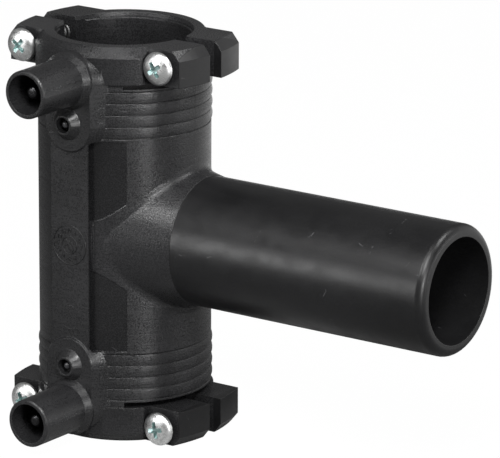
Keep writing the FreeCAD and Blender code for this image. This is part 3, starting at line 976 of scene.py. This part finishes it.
@dataclass
class ClampScrew:
    """One pan head screw with a cross recess and a thread, in place of its plain solid."""

    side: Side
    end: End
    turn: float
    spread: float = 25.6 * MM
    seat: float = 17.3 * MM
    segments: int = 72

    # Shank and thread
    length: float = 29.0 * MM
    radius: float = 2.75 * MM
    core_radius: float = 2.1 * MM
    neck_length: float = 0.5 * MM
    neck_flare: float = 0.4 * MM
    tip_length: float = 2.4 * MM
    tip_radius: float = 1.3 * MM
    pitch: float = 2.2 * MM
    thread_turns: int = 12
    thread_steps: int = 30
    thread_start: float = -1.0 * MM
    thread_sink: float = 0.1 * MM
    thread_half_width: float = 0.55 * MM

    # Head
    head_radius: float = 5.15 * MM
    head_height: float = 2.6 * MM
    rim_height: float = 0.45 * MM
    rim_inset: float = 0.25 * MM
    rim_lift: float = 0.2 * MM
    dome_power: float = 2.6
    dome_steps: tuple[float, ...] = (1.0, 0.995, 0.98, 0.955, 0.92, 0.87, 0.8, 0.7, 0.58, 0.44, 0.28)

    # Cross recess
    recess_reach: float = 2.85 * MM
    recess_half_slot: float = 0.74 * MM
    recess_depth: float = 1.5 * MM
    recess_overrun: float = 0.3 * MM
    recess_taper: float = 0.62
    recess_round: float = 0.18 * MM
    recess_round_steps: int = 3
    recess_skin: float = 0.12 * MM
    # Height below which the shank gets the zinc darkened as painted shade
    plating_end: float = -0.1 * MM

    def dome(self, radius: float) -> float:
        """Gives the dome's height over the seat at a radius."""
        share = max(0.0, 1.0 - (radius / self.head_radius) ** self.dome_power)
        return self.rim_height + (self.head_height - self.rim_height) * math.sqrt(share)

    def blank(self) -> BMesh:
        """Turns the head and the shank's core.

        Returns:
            One closed body along Z, with the seat at nought.
        """
        foot = -self.length
        shank = [
            (0.0, foot),
            (self.tip_radius, foot),
            (self.core_radius, foot + self.tip_length),
            (self.core_radius, -self.neck_length),
            (self.core_radius + self.neck_flare, 0.0),
        ]
        rim = [(self.head_radius - self.rim_inset, 0.0), (self.head_radius, self.rim_lift)]
        dome = [(self.head_radius * step, self.dome(self.head_radius * step)) for step in self.dome_steps]
        return turned(shank + rim + dome + [(0.0, self.head_height)], self.segments)

    def recess(self) -> BMesh:
        """Makes the tapering cross that is cut into the head.

        Returns:
            The closed cross, from over the head down to the recess's floor.
        """
        mesh = bmesh.new()
        # Nine unit squares, without those at the corners, and then drawn to the cross's sizes
        bmesh.ops.create_grid(mesh, x_segments=3, y_segments=3, size=1.5)
        corners = [face for face in mesh.faces
                   if min(abs(face.calc_center_median().x), abs(face.calc_center_median().y)) > 0.5]
        bmesh.ops.delete(mesh, geom=corners, context="FACES")
        for vert in mesh.verts:
            for axis in (0, 1):
                size = self.recess_reach if abs(vert.co[axis]) > 1.0 else self.recess_half_slot
                vert.co[axis] = math.copysign(size, vert.co[axis])
            vert.co.z = self.head_height + self.recess_overrun
        floor = bmesh.ops.extrude_face_region(mesh, geom=mesh.faces[:])
        lower = [item for item in floor["geom"] if isinstance(item, bmesh.types.BMVert)]
        drop = self.recess_depth + self.recess_overrun
        bmesh.ops.translate(mesh, verts=lower, vec=(0, 0, -drop))
        bmesh.ops.scale(mesh, verts=lower, vec=(self.recess_taper, self.recess_taper, 1.0))
        bmesh.ops.recalc_face_normals(mesh, faces=mesh.faces)
        upright = [edge for edge in mesh.edges if abs(edge.verts[0].co.z - edge.verts[1].co.z) > drop / 2]
        bmesh.ops.bevel(mesh, geom=upright, offset=self.recess_round, offset_type="OFFSET",
                        segments=self.recess_round_steps, profile=0.5, affect="EDGES", clamp_overlap=True,
                        material=-1)
        return mesh

    def thread(self) -> BMesh:
        """Winds the thread's ridge round the core.

        Returns:
            A closed triangular band with its root sunk in the core.
        """
        mesh = bmesh.new()
        root = self.core_radius - self.thread_sink
        points = [mesh.verts.new(place) for place in (
            (root, 0.0, self.thread_start + self.thread_half_width),
            (self.radius, 0.0, self.thread_start),
            (root, 0.0, self.thread_start - self.thread_half_width),
        )]
        edges = [mesh.edges.new((points[index], points[(index + 1) % 3])) for index in range(3)]
        mesh.faces.new(points)
        sink = -self.pitch / self.thread_steps
        made = bmesh.ops.spin(mesh, geom=points + edges, cent=(0, 0, 0), axis=(0, 0, 1), dvec=(0, 0, sink),
                              angle=math.tau * self.thread_turns, steps=self.thread_steps * self.thread_turns,
                              use_merge=False, use_duplicate=False)
        mesh.faces.new([item for item in made["geom_last"] if isinstance(item, bmesh.types.BMVert)])
        bmesh.ops.recalc_face_normals(mesh, faces=mesh.faces)
        return mesh

    def parted(self, mesh: BMesh) -> BMesh:
        """Gives the second finish to the inside of the recess and the third, zinc darkened as painted shade,
        to the shank.

        Args:
            mesh: Mesh of the whole screw along Z.

        Returns:
            The same mesh.
        """
        for face in mesh.faces:
            centre = face.calc_center_median()
            radius = math.hypot(centre.x, centre.y)
            sunk = radius < self.recess_reach and centre.z < self.dome(radius) - self.recess_skin
            face.material_index = 2 if centre.z < self.plating_end else int(sunk)
        return mesh

    def placed(self, mesh: BMesh) -> BMesh:
        """Turns the screw's head towards -Y and moves it to its lug.

        Args:
            mesh: Mesh of the whole screw along Z.

        Returns:
            The same mesh, in the model's frame.
        """
        spin = Matrix.Rotation(math.radians(self.turn), 4, "Z")
        face_front = Matrix.Rotation(math.radians(90), 4, "X")
        shift = Matrix.Translation((self.side.value * self.spread, -self.seat, self.end.value))
        bmesh.ops.transform(mesh, matrix=shift @ face_front @ spin, verts=mesh.verts)
        return mesh

    def build(self) -> bpy.types.Object:
        """Builds the screw.

        Returns:
            The finished object, which stands for its plain solid.
        """
        head = boolean_cut(self.blank(), self.recess())
        mesh = self.placed(self.parted(joined([head, self.thread()])))
        name = f"clamp_screw_{self.end.name.lower()}_{self.side.name.lower()}"
        # The shank's finish is zinc darkened as painted shade
        made = finish_object(name, mesh, (BRIGHT_ZINC, RECESS_ZINC, SHADE_PAINTED_ZINC))
        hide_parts("clamp_screws")
        return made


@dataclass
class DateClock:
    """Generic moulded date clock on the wire bar: two rings, twelve numbers and an arrow."""

    centre_height: float = 18.0 * MM
    face: float = 28.2 * MM
    foot: float = 0.1 * MM
    relief: float = 0.28 * MM
    smooth_angle: float = math.radians(40)

    # Rings, with the shoulder as a share of the relief and the crest as one of the width
    ring_radius: float = 6.1 * MM
    hub_radius: float = 2.7 * MM
    ring_width: float = 0.35 * MM
    ring_shoulder: float = 0.6
    ring_crest: float = 0.45
    ring_segments: int = 64

    # Numbers
    number_radius: float = 4.4 * MM
    number_size: float = 1.75 * MM
    number_steps: int = 3

    # Arrow, with its turn in degrees, its reach as a share of the hub and the rest as shares of its reach
    arrow_turn: float = 35.0
    arrow_reach: float = 0.82
    arrow_half_shaft: float = 0.16
    arrow_half_head: float = 0.5
    arrow_neck: float = 0.2

    def ring(self, radius: float) -> BMesh:
        """Turns a raised ring with a rounded crest.

        Args:
            radius: Radius of the ring's middle.

        Returns:
            The closed ring about Z, with its foot sunk in the face.
        """
        half = self.ring_width / 2
        shoulder, crest = self.relief * self.ring_shoulder, half * self.ring_crest
        return turned([
            (radius - half, -self.foot),
            (radius - half, shoulder),
            (radius - crest, self.relief),
            (radius + crest, self.relief),
            (radius + half, shoulder),
            (radius + half, -self.foot),
            (radius - half, -self.foot),
        ], self.ring_segments)

    def number(self, value: int) -> BMesh:
        """Makes one raised number at its hour.

        Args:
            value: Number from 1 to 12.

        Returns:
            The number's mesh, upright at its place on the ring.
        """
        curve = bpy.data.curves.new("number", "FONT")
        curve.body = str(value)
        curve.size = self.number_size
        curve.align_x = "CENTER"
        curve.align_y = "CENTER"
        curve.extrude = self.relief
        curve.resolution_u = self.number_steps
        holder = linked("number", curve)
        data = bpy.data.meshes.new_from_object(holder.evaluated_get(bpy.context.evaluated_depsgraph_get()))
        mesh = bmesh.new()
        mesh.from_mesh(data)
        bpy.data.objects.remove(holder)
        bpy.data.curves.remove(curve)
        bpy.data.meshes.remove(data)
        angle = math.radians(90 - 30 * value)
        place = (self.number_radius * math.cos(angle), self.number_radius * math.sin(angle), 0.0)
        bmesh.ops.translate(mesh, verts=mesh.verts, vec=place)
        return mesh

    def arrow(self) -> BMesh:
        """Makes the raised arrow inside the hub.

        Returns:
            The closed arrow about Z, with its foot sunk in the face.
        """
        mesh = bmesh.new()
        shaft, head, neck = self.arrow_half_shaft, self.arrow_half_head, self.arrow_neck
        outline = ((-shaft, -1.0), (shaft, -1.0), (shaft, neck), (head, neck),
                   (0.0, 1.0), (-head, neck), (-shaft, neck))
        reach = self.hub_radius * self.arrow_reach
        base = mesh.faces.new([mesh.verts.new((x * reach, y * reach, -self.foot)) for x, y in outline])
        raised = bmesh.ops.extrude_face_region(mesh, geom=[base])
        top = [item for item in raised["geom"] if isinstance(item, bmesh.types.BMVert)]
        bmesh.ops.translate(mesh, verts=top, vec=(0, 0, self.relief + self.foot))
        turn = Matrix.Rotation(math.radians(self.arrow_turn), 3, "Z")
        bmesh.ops.rotate(mesh, verts=mesh.verts, cent=(0, 0, 0), matrix=turn)
        return mesh

    def build(self) -> bpy.types.Object:
        """Builds the clock on the bar's face.

        Returns:
            The finished object.
        """
        meshes = [self.ring(self.ring_radius), self.ring(self.hub_radius), self.arrow()]
        meshes += [self.number(value) for value in range(1, 13)]
        mesh = joined(meshes)
        front = Matrix.Rotation(math.radians(90), 4, "X")
        shift = Matrix.Translation((0.0, -self.face, self.centre_height))
        bmesh.ops.transform(mesh, matrix=shift @ front, verts=mesh.verts)
        return finish_object("date_clock", mesh, (BLACK_MOULDING,), self.smooth_angle)


@dataclass
class PackedNodes:
    """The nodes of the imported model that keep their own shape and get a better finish."""

    finishes: dict[str, Finish]

    def dress(self) -> None:
        """Gives each node its finish."""
        for name, finish in self.finishes.items():
            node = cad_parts[name]
            data = node.data
            if not data.materials:
                data.materials.append(finish.material())
            for slot in node.material_slots:
                slot.material = finish.material()
            LOG.info("%s: %s", name, finish.name)


@dataclass
class Softbox:
    """One soft studio lamp that is aimed at the part.

    Attributes:
        name: Name of the lamp.
        azimuth: Degrees from -Y towards +X.
        elevation: Degrees over the level.
        width: Width of the lamp.
        height: Height of the lamp.
        radiance: Brightness of its face.
        distance: Distance from the part.
    """

    name: str
    azimuth: float
    elevation: float
    width: float
    height: float
    radiance: float
    distance: float = 1.0

    def power(self) -> float:
        """Gives the lamp's power for its size and radiance."""
        return math.pi * self.width * self.height * self.radiance

    def build(self) -> bpy.types.Object:
        """Builds the lamp.

        Returns:
            The lamp, which the camera doesn't see.
        """
        data = bpy.data.lights.new(self.name, "AREA")
        data.shape = "RECTANGLE"
        data.size = self.width
        data.size_y = self.height
        data.energy = self.power()
        back = towards(self.azimuth, self.elevation)
        made = linked(self.name, data)
        made.location = CROSSING + back * self.distance
        made.rotation_euler = (-back).to_track_quat("-Z", "Y").to_euler()
        made.visible_camera = False
        LOG.info("%s: %.1f W", self.name, data.energy)
        return made


@dataclass
class Studio:
    """White sweep behind the part, pale floor, dim room in front and soft lamps.

    Attributes:
        floor_height: Height of the floor, on which the part stands.
        floor_size: Length of the floor's sides.
        floor_albedos: Brightness of the matt floor near the part and away from it, lighter near the part as a
            painted pool of light.
        floor_edges: Distances between which the one turns into the other.
        floor_white: Share of the white that the eye sees on the floor.
        floor_glow: Strength of that white.
        room: Brightness of the room in reflections.
        sweep: Brightness of the sweep.
        sweep_azimuth: Direction of the sweep, in degrees from -Y towards +X.
        sweep_edges: Closeness to that direction at which the sweep starts and is full.
        apron_edges: Distances in that direction at which the white floor starts and is full in reflections.
        lamps: Lamps of the studio.
    """

    floor_height: float = -44.0 * MM
    floor_size: float = 12.0
    # The floor is lighter near the part: a painted pool of light
    floor_albedos: tuple[float, float] = (0.34, 0.13)
    floor_edges: tuple[float, float] = (0.04, 0.09)
    floor_white: float = 0.93
    floor_glow: float = 1.06
    room: float = 0.15
    sweep: float = 1.0
    sweep_azimuth: float = 150.0
    sweep_edges: tuple[float, float] = (0.7, 1.0)
    apron_edges: tuple[float, float] = (0.12, 0.30)
    lamps: tuple[Softbox, ...] = (
        Softbox("key_softbox", -31.0, 8.0, 0.36, 0.32, 8.8),
        Softbox("upper_key_softbox", -12.0, 44.0, 0.22, 0.36, 24.0),
        Softbox("overhead_softbox", 6.0, 72.0, 0.20, 0.20, 9.0),
        Softbox("crest_softbox", 40.0, 44.0, 0.24, 0.30, 46.0),
        Softbox("right_softbox", 116.0, 54.0, 0.34, 0.34, 13.0),
        Softbox("column_softbox", 64.0, 10.0, 0.18, 0.24, 46.0),
        Softbox("rim_softbox", 112.0, 1.5, 0.66, 0.12, 5.0),
    )

    def swept(self, graph: Graph, path: bpy.types.Node, place: Socket, edges: tuple[float, float]) -> Socket:
        """Finds what reflections see of the white sweep.

        Args:
            graph: Node tree that gets the nodes.
            path: Light path node of the tree.
            place: Point or direction that is looked at.
            edges: Measures towards the sweep at which the white starts and is full.

        Returns:
            The share of white, nought outside reflections.
        """
        mirrored = graph.math("ADD", path.outputs["Is Glossy Ray"], path.outputs["Is Transmission Ray"],
                              clamp=True)
        along = graph.node("VectorMath", operation="DOT_PRODUCT")
        graph.feed(along.inputs[0], place)
        along.inputs[1].default_value = towards(self.sweep_azimuth)
        return graph.times(mirrored, graph.ramp(along.outputs["Value"], *edges))

    def backdrop(self) -> None:
        """Sets the world: white to the eye, and in reflections a white sweep and a dim room."""
        world = bpy.data.worlds.new("studio")
        world.use_nodes = True
        bpy.context.scene.world = world
        graph = Graph(world.node_tree)
        path = graph.node("LightPath")
        swept = self.swept(graph, path, graph.node("TexCoord").outputs["Generated"], self.sweep_edges)
        shown = graph.math("ADD", path.outputs["Is Camera Ray"], swept, clamp=True)
        room, sweep = (graph.white("Background", strength) for strength in (self.room, self.sweep))
        graph.end_in("OutputWorld", shown, room, sweep)

    def floor_material(self) -> bpy.types.Material:
        """Builds the floor's finish.

        Returns:
            A matt grey, lighter near the part as a painted pool of light, that is white to the eye, apart
            from a faint shadow.
        """
        made = bpy.data.materials.new("studio_floor")
        made.use_nodes = True
        graph = Graph(made.node_tree)
        matt = graph.node("BsdfDiffuse")
        reach = graph.node("VectorMath", operation="LENGTH")
        graph.feed(reach.inputs[0], graph.place())
        # Painted pool of light: the floor's grey is lighter near the part
        painted_pool_grey = graph.ramp(reach.outputs["Value"], *self.floor_edges, *self.floor_albedos)
        graph.feed(matt.inputs["Color"], painted_pool_grey)
        path = graph.node("LightPath")
        apron = self.swept(graph, path, graph.place(), self.apron_edges)
        seen = graph.math("ADD", path.outputs["Is Camera Ray"], apron, clamp=True)
        shown = graph.times(seen, self.floor_white)
        graph.end_in("OutputMaterial", shown, matt.outputs[0], graph.white("Emission", self.floor_glow))
        return made

    def floor(self) -> bpy.types.Object:
        """Lays the floor.

        Returns:
            The floor, which isn't attached to the part's body.
        """
        mesh = bmesh.new()
        bmesh.ops.create_grid(mesh, x_segments=1, y_segments=1, size=self.floor_size / 2)
        bmesh.ops.translate(mesh, verts=mesh.verts, vec=(0, 0, self.floor_height))
        data = stored("floor", mesh)
        data.materials.append(self.floor_material())
        made = linked("floor", data)
        return made

    def build(self) -> None:
        """Builds the backdrop, the floor and the lamps."""
        self.backdrop()
        self.floor()
        for lamp in self.lamps:
            lamp.build()


@dataclass
class PhotoCamera:
    """Camera at the photograph's angle, as fitted to the picture.

    Attributes:
        azimuth: Direction that the picture plane faces, in degrees from -Y towards +X.
        elevation: Direction that it faces, in degrees over the level.
        roll: Turn in the picture plane, in degrees.
        eye_azimuth: Direction of the eye from the crossing, in degrees from -Y towards +X.
        eye_elevation: Direction of the eye from the crossing, in degrees over the level.
        distance: Distance of the eye from the crossing.
        focal_pixels: Focal length in the photograph's pixels.
        picture_width: Width of the photograph in pixels.
        sensor: Width of the sensor in millimetres.
        clip_start: Nearest distance that is drawn.
        clip_end: Farthest distance that is drawn.
    """

    azimuth: float = 35.15
    elevation: float = 16.12
    roll: float = 0.2
    eye_azimuth: float = 36.68
    eye_elevation: float = 16.06
    distance: float = 1.4959
    focal_pixels: float = 4863.67
    picture_width: float = 500.0
    sensor: float = 36.0
    clip_start: float = 0.01
    clip_end: float = 100.0

    def build(self) -> bpy.types.Object:
        """Builds the camera.

        Returns:
            The camera, which is the scene's own.
        """
        back = towards(self.azimuth, self.elevation)
        turn, roll = math.radians(self.azimuth), math.radians(self.roll)
        level = Vector((math.cos(turn), math.sin(turn), 0.0))
        upright = back.cross(level)
        right = level * math.cos(roll) + upright * math.sin(roll)
        up = upright * math.cos(roll) - level * math.sin(roll)
        eye = CROSSING + towards(self.eye_azimuth, self.eye_elevation) * self.distance
        data = bpy.data.cameras.new("photo_camera")
        data.sensor_fit = "HORIZONTAL"
        data.sensor_width = self.sensor
        data.lens = self.focal_pixels / self.picture_width * self.sensor
        data.clip_start = self.clip_start
        data.clip_end = self.clip_end
        made = linked("photo_camera", data)
        made.matrix_world = Matrix((
            (right.x, up.x, back.x, eye.x),
            (right.y, up.y, back.y, eye.y),
            (right.z, up.z, back.z, eye.z),
            (0.0, 0.0, 0.0, 1.0),
        ))
        bpy.context.scene.camera = made
        return made


def main() -> None:
    """Builds the camera, the studio and every piece in order."""
    logging.basicConfig(level=logging.INFO, format="%(name)s: %(message)s")
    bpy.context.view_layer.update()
    bpy.context.scene.view_settings.view_transform = "Standard"
    PhotoCamera().build()
    Studio().build()
    PackedNodes({
        "tee_body": BLACK_MOULDING,
        "heating_wire": RESISTANCE_WIRE,
        "lower_contact_pin": NEAR_BLACK_PIN,
        "upper_contact_pin": NEAR_BLACK_PIN,
        "lower_indicator_pin": DARK_INDICATOR,
        "upper_indicator_pin": DARK_INDICATOR,
    }).dress()
    for (end, side), turn in zip(product(End, Side), CROSS_TURNS):
        ClampScrew(side, end, turn).build()
    DateClock().build()


if __name__ == "__main__":
    main()
